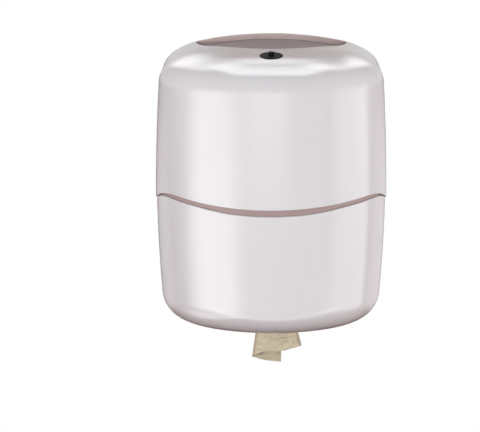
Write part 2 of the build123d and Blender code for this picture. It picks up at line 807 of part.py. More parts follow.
def paper_tail():
    neck_radius = grip_ring_bore_radius - paper_gap
    neck = upright(neck_radius, tail_flare_top_z, tail_neck_top_z - tail_flare_top_z, 0, roll_y)
    top = Pos(0, roll_y, tail_flare_top_z) * Circle(neck_radius)
    foot_width = tail_right_x - tail_left_x + 2 * tail_fold_radius
    middle = (tail_right_x + tail_left_x) / 2
    foot = Pos(middle, tail_y, tail_flare_foot_z) * Ellipse(foot_width / 2, tail_fold_radius + tail_layer)
    body = neck + loft([foot, top])
    left, right = tail_left_x + tail_fold_radius, tail_right_x - tail_fold_radius
    low_left = left - tail_shift(tail_left_low_z)
    low_right = right + tail_shift(tail_front_cut_z)
    start = tail_flare_foot_z
    middle_low = (tail_front_cut_z + tail_front_low_z) / 2
    front = (
        (left, start),
        (right, start),
        (low_right, tail_front_cut_z),
        (tail_back_right_x, middle_low),
        (middle, tail_front_low_z),
        (low_left, tail_left_low_z),
    )
    back = (
        (left, start),
        (tail_back_right_x, start),
        (tail_back_right_x, tail_back_low_z),
        (low_left, tail_left_low_z),
    )
    returned = (
        (tail_return_x, start),
        (right, start),
        (low_right, tail_front_cut_z),
        (tail_return_x, middle_low),
    )
    body += tail_layer_solid(tail_y - tail_fold_radius, front)
    body += tail_layer_solid(tail_y + tail_fold_radius, back)
    body += tail_layer_solid(tail_y + tail_fold_radius, returned)
    body += tail_fold(left, start, tail_left_low_z, -1)
    body += tail_fold(right, start, tail_front_cut_z, 1)
    return body


def cover_screws():
    bodies = []
    for x, y, turn, top in joint_places():
        seat = top - lug_thickness
        head_foot = seat - joint_screw_head_height
        head = upright(joint_screw_head_radius, head_foot, joint_screw_head_height, x, y)
        head -= Pos(x, y, head_foot) * Rot(0, 0, turn) * drive_recess(joint_screw_radius)
        bodies.append(head + upright(joint_screw_radius, seat, joint_screw_length, x, y))
    return bodies


def hinge_pins():
    reach = plate_ear_width / 2 + ear_gap + cover_ear_width
    return [hinge_rod(hinge_pin_radius, (way * hinge_x - reach, way * hinge_x + reach)) for way in (-1, 1)]


def lock_bezel():
    body = lock_rod(bezel_radius, bezel_seat_depth - bezel_thickness, bezel_seat_depth)
    body = chamfer(body.edges().group_by(Axis(lock_plane.origin, lock_plane.z_dir))[-1], bezel_bevel)
    body += lock_rod(sleeve_radius, bezel_seat_depth, sleeve_foot)
    return body - lock_rod(button_radius + button_running_gap, -overrun, sleeve_foot + overrun)


def lock_nut():
    hexagon = extrude(RegularPolygon(lock_nut_radius, lock_nut_flats), amount=lock_nut_thickness)
    body = lock_plane * (Pos(0, 0, -nut_top - lock_nut_thickness) * hexagon)
    return body - lock_rod(sleeve_radius + thread_gap, -overrun, overrun)


def lock_button():
    top = bezel_seat_depth - bezel_thickness - button_rise
    body = lock_rod(button_radius, top, stem_shoulder)
    body = fillet(body.edges().group_by(Axis(lock_plane.origin, lock_plane.z_dir))[-1], button_dome)
    body += lock_rod(collar_radius, collar_top, collar_foot)
    body += lock_rod(stem_neck_radius, stem_shoulder, stem_foot)
    return body


def button_clip():
    body = lock_rod(clip_radius, clip_top, clip_top + clip_thickness)
    body -= lock_rod(stem_neck_radius, clip_top - overrun, clip_top + overrun)
    mouth = (-clip_mouth / 2, clip_mouth / 2)
    return body - lock_box(mouth, (0, clip_radius + face_gap), clip_top - face_gap, clip_top + overrun)


def button_spring():
    height = spring_space - 2 * (spring_wire_radius + face_gap)
    pitch = height / spring_turns
    coil = Helix(pitch=pitch, height=height, radius=spring_radius)
    section = Plane(origin=coil @ 0, z_dir=coil % 0) * Circle(spring_wire_radius)
    wire = sweep(section, path=coil)
    return lock_plane * (Pos(0, 0, -bracket_top + spring_wire_radius + face_gap) * wire)


def latch_bracket():
    sides = (-bracket_half_width, bracket_half_width)
    long = (-bracket_front, bracket_rear)
    body = lock_box(sides, long, bracket_top, bracket_foot)
    body -= lock_rod(button_radius + bracket_hole_gap, bracket_top - overrun, bracket_foot + overrun)
    middle = -lever_pivot_reach
    for way in (-1, 1):
        face = way * bracket_half_width
        skin = tuple(sorted((face, face - way * bracket_plate)))
        body += lock_box(skin, (middle - cheek_length / 2, middle + cheek_length / 2), bracket_top,
                         bracket_foot + cheek_depth)
        leg_y = (-lever_pivot_reach / 2 - cheek_length / 2, -lever_pivot_reach / 2 + cheek_length / 2)
        body += lock_box(skin, leg_y, foot_seat_depth, bracket_foot)
        tab = tuple(sorted((face - way * bracket_plate, face + way * foot_length)))
        body += lock_box(tab, leg_y, foot_seat_depth, foot_seat_depth + bracket_plate)
        body -= lock_rod(joint_screw_radius, foot_seat_depth - overrun / 4, foot_seat_depth + overrun / 4,
                         way * foot_screw_x, -lever_pivot_reach / 2)
    reach = bracket_half_width + overrun
    return body - cross_rod(latch_pin_radius + latch_pin_fit, (-reach, reach), middle, pivot_depth)


def bracket_screws():
    bodies = []
    seat = foot_seat_depth + bracket_plate
    for way in (-1, 1):
        x, y = way * foot_screw_x, -lever_pivot_reach / 2
        head = lock_rod(joint_screw_head_radius, seat, seat + joint_screw_head_height, x, y)
        head -= lock_plane * (Pos(x, y, -seat - joint_screw_head_height) * drive_recess(joint_screw_radius))
        bodies.append(head + lock_rod(joint_screw_radius, seat - foot_screw_length / 2, seat, x, y))
    return bodies


def latch_pin():
    reach = bracket_half_width + face_gap
    return cross_rod(latch_pin_radius, (-reach, reach), -lever_pivot_reach, pivot_depth)


def latch_lever():
    wide = (-lever_half_width, lever_half_width)
    tail_end = lever_tooth_reach + lever_tooth_length
    body = lock_box(wide, (-lever_pivot_reach, tail_end), lever_top, lever_foot)
    body += cross_rod(lever_barrel_radius, wide, -lever_pivot_reach, pivot_depth)
    body += lock_box(wide, (lever_tooth_reach, tail_end), lever_top - lever_tooth_height, lever_foot)
    window = (-lever_window_half_width, lever_window_half_width)
    body -= lock_box(window, (-lever_window_half_length, lever_window_half_length), lever_top - overrun / 4,
                     lever_foot + overrun / 4)
    reach = lever_half_width + overrun
    bore = latch_pin_radius + hinge_running_gap
    return body - cross_rod(bore, (-reach, reach), -lever_pivot_reach, pivot_depth)


def strike_place():
    """Limits of the strike's wall along the lock frame's own y."""
    rear = lever_tooth_reach - strike_gap
    return rear - strike_wall, rear


def strike_screw_y():
    wall_y = (lock_plane * Pos(0, strike_place()[1], -strike_foot)).position.Y
    return wall_y + strike_foot_length / 2


def latch_strike():
    under = deck_drop + deck_wall
    sheet = upper_form(under) - upper_form(under + strike_wall, overrun, seam_z - casing_height)
    near, rear = strike_place()
    wall_y = (lock_plane * Pos(0, near, -under)).position.Y
    wide = (-strike_half_width, strike_half_width)
    body = sheet & bar(wide, (wall_y, wall_y + strike_foot_length), (0, casing_height))
    leg = lock_box(wide, (near, rear), 0, strike_foot)
    body += leg & upper_form(under + strike_wall / 2)
    for x in (-strike_screw_x, strike_screw_x):
        body -= upright(strike_screw_radius, 0, casing_height, x, strike_screw_y())
    return body


def strike_screws():
    bodies = []
    forward = -strike_screw_y() - straight_depth
    for x in (-strike_screw_x, strike_screw_x):
        seat = crown_z(x, forward, deck_drop + deck_wall + strike_wall)
        face = seat - strike_screw_seat_gap
        foot = face - strike_screw_head_height
        head = upright(strike_screw_head_radius, foot, strike_screw_head_height, x, strike_screw_y())
        head -= Pos(x, strike_screw_y(), foot) * drive_recess(strike_screw_radius)
        bodies.append(head + upright(strike_screw_radius, face, strike_screw_length, x, strike_screw_y()))
    return bodies


def drilled_deck():
    body = top_deck()
    for x in (-strike_screw_x, strike_screw_x):
        body -= upright(strike_screw_radius, 0, casing_height, x, strike_screw_y())
    return body


nodes = {
    "back_plate": back_plate,
    "top_deck": drilled_deck,
    "deck_screws": deck_screws,
    "latch_strike": latch_strike,
    "strike_screws": strike_screws,
    "roll_shelf": roll_shelf,
    "shelf_screws": shelf_screws,
    "nozzle": nozzle,
    "nozzle_screws": nozzle_screws,
    "grip_ring": grip_ring,
    "hinge_pins": hinge_pins,
    "paper_roll": paper_roll,
    "paper_tail": paper_tail,
    "upper_cover": upper_cover,
    "lower_cover": lower_cover,
    "cover_screws": cover_screws,
    "lock_bezel": lock_bezel,
    "lock_nut": lock_nut,
    "latch_bracket": latch_bracket,
    "bracket_screws": bracket_screws,
    "latch_pin": latch_pin,
    "lock_button": lock_button,
    "button_clip": button_clip,
    "button_spring": button_spring,
    "latch_lever": latch_lever,
}

os.makedirs("parts", exist_ok=True)
for name, make in nodes.items():
    made = make()
    solids = made if isinstance(made, list) else [made]
    export_step(Compound(children=[s for body in solids for s in body.solids()]), f"parts/{name}.step")
    print(name, len([s for body in solids for s in body.solids()]))
print("lock axis", tuple(round(c, 5) for c in lock_plane.z_dir))
print("lock centre", tuple(round(c, 3) for c in lock_plane.origin))
pivot = (lock_plane * Pos(0, -lever_pivot_reach, -pivot_depth)).position
print("latch pivot", tuple(round(c, 3) for c in pivot), "press angle", round(degrees(press_angle), 3))
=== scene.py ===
import json
import math

import bmesh
import bpy
import numpy as np
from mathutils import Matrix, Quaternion, Vector, noise


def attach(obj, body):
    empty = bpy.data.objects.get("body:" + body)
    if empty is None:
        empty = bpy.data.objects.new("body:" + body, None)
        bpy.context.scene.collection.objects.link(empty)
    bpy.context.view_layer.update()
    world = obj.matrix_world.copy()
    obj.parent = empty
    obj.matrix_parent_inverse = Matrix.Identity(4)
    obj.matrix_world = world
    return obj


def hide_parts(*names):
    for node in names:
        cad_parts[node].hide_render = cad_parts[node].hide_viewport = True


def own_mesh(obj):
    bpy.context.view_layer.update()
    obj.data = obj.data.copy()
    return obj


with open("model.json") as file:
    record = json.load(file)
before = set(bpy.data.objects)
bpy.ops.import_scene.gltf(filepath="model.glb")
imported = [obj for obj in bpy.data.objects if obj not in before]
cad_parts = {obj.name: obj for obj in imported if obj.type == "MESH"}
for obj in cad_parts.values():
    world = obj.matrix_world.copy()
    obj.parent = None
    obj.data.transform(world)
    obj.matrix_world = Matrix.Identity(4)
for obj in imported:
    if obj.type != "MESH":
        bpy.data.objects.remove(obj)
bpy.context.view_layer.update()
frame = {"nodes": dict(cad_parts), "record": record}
nodes = frame["nodes"]
scene = bpy.context.scene
scene.view_settings.view_transform = "Standard"

MM = 0.001


def scene_object(name, data):
    obj = bpy.data.objects.new(name, data)
    scene.collection.objects.link(obj)
    return obj


# Camera
AIM = Vector((0.0, -0.100, -0.0175))
CAMERA_RANGE = 2.8
CAMERA_RISE = math.radians(9.0)
PAN_LEFT = math.radians(0.704)
TILT_DOWN = math.radians(0.351)
LENS_MM = 191.6
SENSOR_MM = 36.0
CLIP_NEAR = 0.1
CLIP_FAR = 100.0

camera_data = bpy.data.cameras.new("camera")
camera_data.sensor_width = SENSOR_MM
camera_data.lens = LENS_MM
camera_data.clip_start = CLIP_NEAR
camera_data.clip_end = CLIP_FAR
camera = scene_object("camera", camera_data)
camera.location = AIM + CAMERA_RANGE * Vector((0, -math.cos(CAMERA_RISE), math.sin(CAMERA_RISE)))
camera.rotation_euler = (math.pi / 2 - CAMERA_RISE - TILT_DOWN, 0, PAN_LEFT)
scene.camera = camera


class Nodes:
    """Short calls for building the node tree of a light, world or material."""

    def __init__(self, owner):
        owner.use_nodes = True
        self.tree = owner.node_tree

    def add(self, kind, **settings):
        """A new node. Each setting is an input's value or else a property of the node."""
        node = self.tree.nodes.new(kind)
        for key, value in settings.items():
            socket = key.replace("_", " ")
            if socket in node.inputs:
                node.inputs[socket].default_value = value
            else:
                setattr(node, key, value)
        return node

    def link(self, output, socket):
        self.tree.links.new(output, socket)

    def feed(self, socket, value):
        """Sets a plain number or colour on the socket itself, and links anything else."""
        if isinstance(value, (int, float)):
            socket.default_value = value
        elif isinstance(value, tuple):
            socket.default_value = (*value, 1)
        else:
            self.link(value, socket)

    def math(self, operation, *values):
        node = self.add("ShaderNodeMath", operation=operation)
        for socket, value in zip(node.inputs, values):
            self.feed(socket, value)
        return node.outputs[0]

    def product(self, first, *others):
        for other in others:
            first = self.math("MULTIPLY", first, other)
        return first

    def split(self, vector):
        node = self.add("ShaderNodeSeparateXYZ")
        self.link(vector, node.inputs[0])
        return node.outputs[0], node.outputs[1], node.outputs[2]

    def ramp(self, value, low, high, from_low, from_high, **settings):
        """low to high while the value goes from from_low to from_high, and level outside."""
        node = self.add("ShaderNodeMapRange", From_Min=from_low, From_Max=from_high,
                        To_Min=low, To_Max=high, **settings)
        self.link(value, node.inputs["Value"])
        return node.outputs["Result"]

    def rise(self, value, start, end, **settings):
        return self.ramp(value, 0.0, 1.0, start, end, **settings)

    def fall(self, value, start, end):
        return self.ramp(value, 1.0, 0.0, start, end)

    def between(self, value, low, high, soft):
        """1 where the value lies between low and high, with soft edges."""
        return self.product(self.rise(value, low - soft, low + soft),
                            self.fall(value, high - soft, high + soft))


# Light
CROWN = Vector((0.0, -0.130, 0.125))
WHITE = (1.0, 1.0, 1.0)
WARM = (1.0, 0.93, 0.92)
AMBIENT = (0.29, 0.262, 0.262)
MIRRORED_WHITE = 0.62

# Lamps light the object and aren't mirrored in it. Each row: name, azimuth and elevation in
# degrees, distance, width and height in metres, radiance, tint.
LAMPS = (
    ("front_lamp", -4, 3, 3.0, 2.2, 0.7, 12.4, WHITE),
    ("left_lamp", -105, 2, 2.5, 1.2, 0.6, 10.8, WARM),
    ("right_lamp", 105, 2, 2.5, 1.2, 0.6, 15.6, WARM),
)
# Panels are only mirrored. Their rows end with the shares of the width and height over which they
# fade at the left, right, lower and upper edge, in place of the tint.
BODY_PANELS = (
    ("front_panel", 4, -11, 1.5, 4.4, 2.00, 1.9, (0.15, 0.15, 0.08, 0.55)),
    ("left_panel", -60, -11, 1.8, 2.9, 1.9, 5.2, (0.42, 0.50, 0.25, 0.35)),
    ("right_panel", 83, -11, 1.5, 1.60, 1.6, 2.3, (0.22, 0.05, 0.25, 0.35)),
    ("foot_panel", 4, -51, 1.2, 4.8, 0.44, 3.4, (0.15, 0.15, 0.2, 0.2)),
    ("foot_left", -72, -46, 1.3, 1.9, 0.50, 3.1, (0.3, 0.3, 0.2, 0.2)),
    ("left_rim", -140, -12, 2.0, 1.6, 1.3, 0.6, (0.2, 0.2, 0.2, 0.4)),
    ("right_rim", 141, -12, 2.0, 1.6, 1.3, 0.8, (0.1, 0.1, 0.2, 0.4)),
)
# Panels that face the crown. Their rows end with the roll in degrees.
CROWN_PANELS = (
    ("overhead", 180, 79, 3.0, 3.0, 2.48, 6.0, (0.10, 0.10, 0.32, 0.10), 0),
    ("rear_left", -153, 34, 3.0, 1.40, 3.3, 2.8, (0.42, 0.42, 0.42, 0.1), -32),
    ("rear_right", 152, 34, 3.0, 0.90, 3.1, 2.8, (0.45, 0.45, 0.42, 0.1), 33),
    ("rear_patch", 180, 48, 3.0, 2.00, 1.50, 4.0, (0.4, 0.4, 0.6, 0.35), 0),
    ("joint_left", -153, 54, 3.0, 0.90, 1.1, 4.6, (0.4, 0.4, 0.4, 0.4), 0),
    ("joint_right", 151, 53, 3.0, 0.90, 1.2, 5.4, (0.4, 0.4, 0.4, 0.4), 0),
)


def soft_edges(data, left, right, lower, upper):
    """Fades a panel's own light towards its edges, over these shares of its width and height."""
    n = Nodes(data)
    across, up, _ = n.split(n.add("ShaderNodeNewGeometry").outputs["Parametric"])
    spans = ((across, 0.0, left), (across, 1.0, 1.0 - right),
             (up, 0.0, lower), (up, 1.0, 1.0 - upper))
    fades = [n.rise(*span, interpolation_type="SMOOTHSTEP") for span in spans]
    n.link(n.product(*fades), n.tree.nodes["Emission"].inputs["Strength"])


def area_light(name, azimuth, elevation, distance, width, height, radiance, centre=AIM,
               tint=WHITE, margins=None, roll=0):
    """A soft panel that faces the centre, at an azimuth counted to the right from the front."""
    data = bpy.data.lights.new(name, "AREA")
    data.shape = "RECTANGLE"
    data.size = width
    data.size_y = height
    data.energy = radiance * math.pi * width * height
    data.color = tint
    if margins:
        soft_edges(data, *margins)
    obj = scene_object(name, data)
    a, e = math.radians(azimuth), math.radians(elevation)
    out = Vector((math.sin(a) * math.cos(e), -math.cos(a) * math.cos(e), math.sin(e)))
    turned = Quaternion((0, 0, 1), math.radians(roll))
    obj.location = centre + distance * out
    obj.rotation_mode = "QUATERNION"
    obj.rotation_quaternion = out.to_track_quat("Z", "Y") @ turned
    obj.visible_camera = False
    return obj


for *row, tint in LAMPS:
    area_light(*row, tint=tint).visible_glossy = False
for *row, margins in BODY_PANELS:
    area_light(*row, margins=margins).visible_diffuse = False
for *row, margins, roll in CROWN_PANELS:
    area_light(*row, centre=CROWN, margins=margins, roll=roll).visible_diffuse = False


def white_to_camera(n, output, lit, white, mirrored):
    """Shows white to rays from the camera and through glass, and lit to all other rays.

    Mirrored rays see a mixture of the two with this share of white.
    """
    path = n.add("ShaderNodeLightPath").outputs
    seen = n.math("MAXIMUM", path["Is Camera Ray"], path["Is Transmission Ray"])
    mix = n.add("ShaderNodeMixShader")
    n.link(n.math("MULTIPLY_ADD", path["Is Glossy Ray"], mirrored, seen), mix.inputs[0])
    n.link(lit.outputs[0], mix.inputs[1])
    n.link(white.outputs[0], mix.inputs[2])
    n.link(mix.outputs[0], output.inputs["Surface"])


def world_light():
    scene.world = bpy.data.worlds.new("studio")
    n = Nodes(scene.world)
    n.tree.nodes.clear()
    ambient = n.add("ShaderNodeBackground", Color=(*AMBIENT, 1))
    white = n.add("ShaderNodeBackground", Color=(*WHITE, 1))
    white_to_camera(n, n.add("ShaderNodeOutputWorld"), ambient, white, MIRRORED_WHITE)


world_light()


# Floor
FLOOR_Z = -1.2
FLOOR_SIDE = 60.0
FLOOR_TONE = (0.165, 0.072, 0.058)


def floor_piece():
    mesh = bpy.data.meshes.new("floor")
    half = FLOOR_SIDE / 2
    corners = ((-half, -half), (half, -half), (half, half), (-half, half))
    mesh.from_pydata([(x, y, FLOOR_Z) for x, y in corners], [], [(0, 1, 2, 3)])
    obj = scene_object("floor", mesh)
    material = bpy.data.materials.new("floor_pale")
    n = Nodes(material)
    n.tree.nodes.clear()
    matte = n.add("ShaderNodeBsdfDiffuse", Color=(*FLOOR_TONE, 1))
    white = n.add("ShaderNodeEmission", Color=(*WHITE, 1))
    white_to_camera(n, n.add("ShaderNodeOutputMaterial"), matte, white, 0.0)
    mesh.materials.append(material)


floor_piece()


# Hanging paper, in millimetres
NECK_TOP = -104.2
FLARE_TOP = -142.1
FLARE_FOOT = -158.0
ROLL_Y = -108.0
BACK_Y = -108.6
FRONT_Y = -113.4
FOLD_RADIUS = (BACK_Y - FRONT_Y) / 2
PLEAT_GAP = 1.2
BELLY = 2.5
PAPER_THICKNESS = 0.35

# Its two folded sides: their x at one height, and the change of x with height
FOLDS_Z = -161.7
LEFT_FOLD_X = -16.4
LEFT_SLOPE = 0.14
RIGHT_FOLD_X = 29.7
RIGHT_SLOPE = -0.268
RIGHT_UPRIGHT_BELOW = -178.0


# Materials
class Material(Nodes):
    """A piece's material, built in the coordinates of the object, in metres."""

    NOISE_SPAN = (0.3, 0.7)

    def __init__(self, name):
        self.material = bpy.data.materials.new(name)
        super().__init__(self.material)
        self.shader = self.tree.nodes["Principled BSDF"]
        coordinates = self.add("ShaderNodeTexCoord").outputs
        self.place = coordinates["Object"]
        self.normal = coordinates["Normal"]

    def mapped(self, scale):
        node = self.add("ShaderNodeMapping", Scale=scale)
        self.link(self.place, node.inputs["Vector"])
        return node.outputs["Vector"]

    def noise(self, scale, detail=2.0, rough=0.5, vector=None, distortion=0.0):
        node = self.add("ShaderNodeTexNoise", Scale=scale, Detail=detail, Roughness=rough,
                        Distortion=distortion)
        self.link(self.place if vector is None else vector, node.inputs["Vector"])
        return node.outputs["Fac"]

    def mix(self, factor, first, second):
        node = self.add("ShaderNodeMix", data_type="RGBA")
        self.link(factor, node.inputs[0])
        self.feed(node.inputs[6], first)
        self.feed(node.inputs[7], second)
        return node.outputs[2]

    def length(self, a, b):
        """The length of the flat vector (a, b)."""
        squares = self.math("POWER", a, 2.0), self.math("POWER", b, 2.0)
        return self.math("SQRT", self.math("ADD", *squares))

    def bump(self, height, distance, normal=None):
        node = self.add("ShaderNodeBump", Distance=distance)
        self.link(height, node.inputs["Height"])
        if normal is not None:
            self.link(normal, node.inputs["Normal"])
        return node.outputs["Normal"]

    def set(self, **values):
        for key, value in values.items():
            self.feed(self.shader.inputs[key.replace("_", " ")], value)

    def rough(self, pattern, low, high):
        self.set(Roughness=self.ramp(pattern, low, high, *self.NOISE_SPAN))


# Shell: the plan's centre, the recessed groove along the seam, painted darker and less glossy as
# shade, and the flat crown's painted warm reflection
PLAN_CENTRE_Y = -0.100
SHELL_TONES = ((0.774, 0.785, 0.810), (0.804, 0.815, 0.840))
SHELL_GLOSS = 0.5
GROOVE_RADII = (0.1205, 0.1226)
GROOVE_HEIGHTS = (-0.0185, 0.0005)
GROOVE_SOFT = (0.0002, 0.0003)
GROOVE_SHADE = (0.44, 0.345, 0.335)
GROOVE_GLOSS = 0.08
CROWN_RADII = (0.080, 0.096)
CROWN_HEIGHTS = (0.125, 0.140)
CROWN_LEFT = (-0.085, -0.035)
CROWN_LEFT_SHARE = 0.1
PAINTED_CROWN_REFLECTION = (0.885, 0.80, 0.785)


def shell_material():
    n = Material("white_shell")
    x, y, z = n.split(n.place)
    forward = n.math("MINIMUM", n.math("SUBTRACT", y, PLAN_CENTRE_Y), 0.0)
    radius = n.length(x, forward)
    groove = n.product(n.between(radius, *GROOVE_RADII, GROOVE_SOFT[0]),
                       n.between(z, *GROOVE_HEIGHTS, GROOVE_SOFT[1]))
    crown = n.product(n.fall(radius, *CROWN_RADII), n.rise(z, *CROWN_HEIGHTS),
                      n.ramp(x, CROWN_LEFT_SHARE, 1.0, *CROWN_LEFT))
    white = n.mix(n.noise(9.0), *SHELL_TONES)
    # Painted reflection: a warm tint on the flat crown
    white = n.mix(crown, white, PAINTED_CROWN_REFLECTION)
    # Painted shade: the recessed groove is darker and less glossy
    n.set(Base_Color=n.mix(groove, white, GROOVE_SHADE))
    n.set(Specular_IOR_Level=n.ramp(groove, SHELL_GLOSS, GROOVE_GLOSS, 0.0, 1.0))
    n.rough(n.noise(60.0, 3.0), 0.15, 0.20)
    n.set(Normal=n.bump(n.noise(520.0, 1.0), 0.03 * MM))
    return n.material


# The front of the back plate's and the deck's top edge, painted lighter as light on the back plate
# and darker as shade on the deck
CREST_HEIGHTS = (0.1400, 0.1430)
CREST_DEPTHS = (-0.0024, -0.0014)


def frame_material(name, dark, light, painted_crest):
    """Matte grey plastic, with the front of its top edge painted in a tone that stands in for how
    light falls there.
    """
    n = Material(name)
    _, y, z = n.split(n.place)
    edge = n.product(n.rise(z, *CREST_HEIGHTS), n.fall(y, *CREST_DEPTHS))
    grey = n.mix(n.noise(14.0), dark, light)
    # The crest tone is painted light on the back plate and painted shade on the deck
    n.set(Base_Color=n.mix(edge, grey, painted_crest), Specular_IOR_Level=0.3)
    n.rough(n.noise(200.0, 3.0), 0.55, 0.68)
    n.set(Normal=n.bump(n.noise(1400.0), 0.08 * MM))
    return n.material


def black_material():
    n = Material("black_lock")
    n.set(Base_Color=(0.008, 0.009, 0.0095), Specular_IOR_Level=0.02)
    n.rough(n.noise(900.0, 4.0), 0.34, 0.46)
    n.set(Normal=n.bump(n.noise(1500.0), 0.04 * MM))
    return n.material


def nozzle_material():
    n = Material("grey_nozzle")
    n.set(Base_Color=n.mix(n.noise(30.0, 3.0), (0.15, 0.155, 0.165), (0.18, 0.185, 0.195)))
    n.rough(n.noise(260.0, 3.0), 0.38, 0.5)
    n.set(Normal=n.bump(n.noise(1800.0), 0.06 * MM))
    return n.material


def steel_material():
    n = Material("zinc_steel")
    streaks = n.noise(1.0, 3.0, vector=n.mapped((300.0, 2600.0, 2600.0)))
    n.set(Base_Color=n.mix(n.noise(220.0, 3.0), (0.55, 0.55, 0.54), (0.68, 0.68, 0.67)))
    n.set(Metallic=1.0, Normal=n.bump(streaks, 0.02 * MM))
    n.rough(streaks, 0.24, 0.42)
    return n.material


def rubber_material():
    n = Material("black_rubber")
    n.set(Base_Color=(0.02, 0.02, 0.02))
    n.rough(n.noise(400.0, 3.0), 0.6, 0.8)
    n.set(Normal=n.bump(n.noise(2400.0), 0.1 * MM))
    return n.material


# Paper: the depths between the front layer and those behind it, the slant at which a surface
# counts as facing the front, the heights where the hanging part begins, the place of the opened
# fold, and how far the shade of each folded side reaches inwards
LAYER_DEPTHS = (-0.1128, -0.1105)
FRONT_SLANTS = (-0.2, 0.2)
HANGING_HEIGHTS = (-0.125, -0.115)
OPENED_ACROSS = (-0.0165, -0.0085)
OPENED_HEIGHTS = (-0.1885, -0.1822)
OPENED_SOFT = (0.0015, 0.0012)
LEFT_SHADE = (0.0002, 0.0034)
RIGHT_SHADE = (0.0004, 0.0046)
PAPER_TONES = ((0.70, 0.64, 0.455), (0.80, 0.745, 0.555))
# Painted shade tones: along the emboss and curl pattern, at the folded sides, on the layers behind
# the front one and inside the opened fold
EMBOSS_SHADE = (0.50, 0.42, 0.30)
FOLDED_SIDE_SHADE = (0.43, 0.36, 0.25)
BEHIND_FRONT_SHADE = (0.36, 0.28, 0.19)
OPENED_FOLD_SHADE = (0.20, 0.15, 0.10)


def fold_line(n, height, x, slope):
    """The x of a folded side at this height, in metres."""
    return n.math("MULTIPLY_ADD", height, slope, MM * (x - slope * FOLDS_Z))


def fold_shade(n, across, height):
    """1 at the folded sides of the hanging paper, fading inwards."""
    left = fold_line(n, height, LEFT_FOLD_X, LEFT_SLOPE)
    held = n.math("MAXIMUM", height, MM * RIGHT_UPRIGHT_BELOW)
    right = fold_line(n, held, RIGHT_FOLD_X, RIGHT_SLOPE)
    from_left = n.fall(n.math("SUBTRACT", across, left), *LEFT_SHADE)
    from_right = n.fall(n.math("SUBTRACT", right, across), *RIGHT_SHADE)
    return n.math("MAXIMUM", from_left, from_right)


def tissue_material():
    """Crinkled, softly embossed paper, with painted shade along its emboss and curl pattern, at
    its folded sides, between its layers and inside the opened fold.
    """
    n = Material("beige_paper")
    across, deep, height = n.split(n.place)
    _, slant, _ = n.split(n.normal)
    inner = n.product(n.rise(deep, *LAYER_DEPTHS), n.fall(slant, *FRONT_SLANTS))
    hanging = n.fall(height, *HANGING_HEIGHTS)

    fibres = n.noise(1.0, 4.0, 0.6, vector=n.mapped((900.0, 900.0, 260.0)), distortion=0.6)
    patches = n.noise(70.0, 3.0)
    cells = n.add("ShaderNodeTexVoronoi", feature="SMOOTH_F1", Scale=190.0)
    n.link(n.mapped((1.0, 0.3, 0.7)), cells.inputs["Vector"])
    loops = cells.outputs["Distance"]
    rings = n.add("ShaderNodeTexWave", wave_type="RINGS", rings_direction="Y", Scale=58.0,
                  Distortion=9.0, Detail=1.5, Detail_Scale=1.4)
    n.link(n.mapped((1.0, 0.3, 0.8)), rings.inputs["Vector"])
    curls = rings.outputs["Fac"]
    curl_valley_shade = n.product(n.ramp(curls, 0.25, 0.0, 0.0, 0.35), hanging)

    folds = n.product(fold_shade(n, across, height), hanging)
    opened = n.product(n.between(across, *OPENED_ACROSS, OPENED_SOFT[0]),
                       n.between(height, *OPENED_HEIGHTS, OPENED_SOFT[1]), inner)
    colour = n.mix(patches, *PAPER_TONES)
    # Painted shade along the emboss cells and in the curl valleys
    colour = n.mix(n.ramp(loops, 0.0, 0.24, 0.45, 0.75), colour, EMBOSS_SHADE)
    colour = n.mix(curl_valley_shade, colour, EMBOSS_SHADE)
    # Painted shade at the folded sides
    colour = n.mix(n.product(folds, 0.9), colour, FOLDED_SIDE_SHADE)
    # Painted shade on the layers behind the front one
    colour = n.mix(n.product(inner, 0.27), colour, BEHIND_FRONT_SHADE)
    # Painted shade inside the opened fold
    colour = n.mix(n.product(opened, 0.6), colour, OPENED_FOLD_SHADE)
    n.set(Base_Color=colour, Roughness=0.92, Specular_IOR_Level=0.2, Sheen_Weight=0.15)

    embossing = n.math("ADD", loops, n.product(curls, hanging, 0.6))
    embossed = n.bump(embossing, 1.8 * MM, normal=n.bump(patches, 0.6 * MM))
    n.set(Normal=n.bump(fibres, 0.15 * MM, normal=embossed))
    return n.material


def rolled_material():
    """The ends of the wound roll, with fine rings about its axis."""
    n = Material("rolled_paper")
    x, y, _ = n.split(n.place)
    rings = n.add("ShaderNodeCombineXYZ")
    n.link(n.length(x, n.math("SUBTRACT", y, MM * ROLL_Y)), rings.inputs[0])
    layers = n.noise(2600.0, 3.0, 0.6, vector=rings.outputs[0])
    shade = n.rise(layers, *n.NOISE_SPAN)
    n.set(Base_Color=n.mix(shade, (0.52, 0.44, 0.285), (0.64, 0.555, 0.375)))
    n.set(Roughness=0.94, Specular_IOR_Level=0.2)
    n.set(Normal=n.bump(layers, 0.4 * MM, normal=n.bump(n.noise(26.0, 3.0), 0.8 * MM)))
    return n.material


looks = {
    "white_shell": shell_material(),
    # Its crest tone is painted light on the front of the back plate's top edge
    "grey_frame": frame_material("grey_frame", (0.47, 0.42, 0.40), (0.51, 0.46, 0.44),
                                 (0.84, 0.71, 0.69)),
    # Partly a darker plastic and partly painted shade of the recess in the top; its crest tone,
    # darker still, is painted shade
    "shaded_grey_deck": frame_material("shaded_grey_deck", (0.225, 0.168, 0.160), (0.25, 0.19, 0.182),
                                (0.21, 0.155, 0.148)),
    "black_lock": black_material(),
    "grey_nozzle": nozzle_material(),
    "zinc_steel": steel_material(),
    "black_rubber": rubber_material(),
    "beige_paper": tissue_material(),
    "rolled_paper": rolled_material(),
}
look_of = {row["node"]: row["material_slot"] for row in frame["record"]["subparts"]}
look_of["top_deck"] = "shaded_grey_deck"
for name, obj in nodes.items():
    obj.data.materials.clear()
    obj.data.materials.append(looks[look_of[name]])


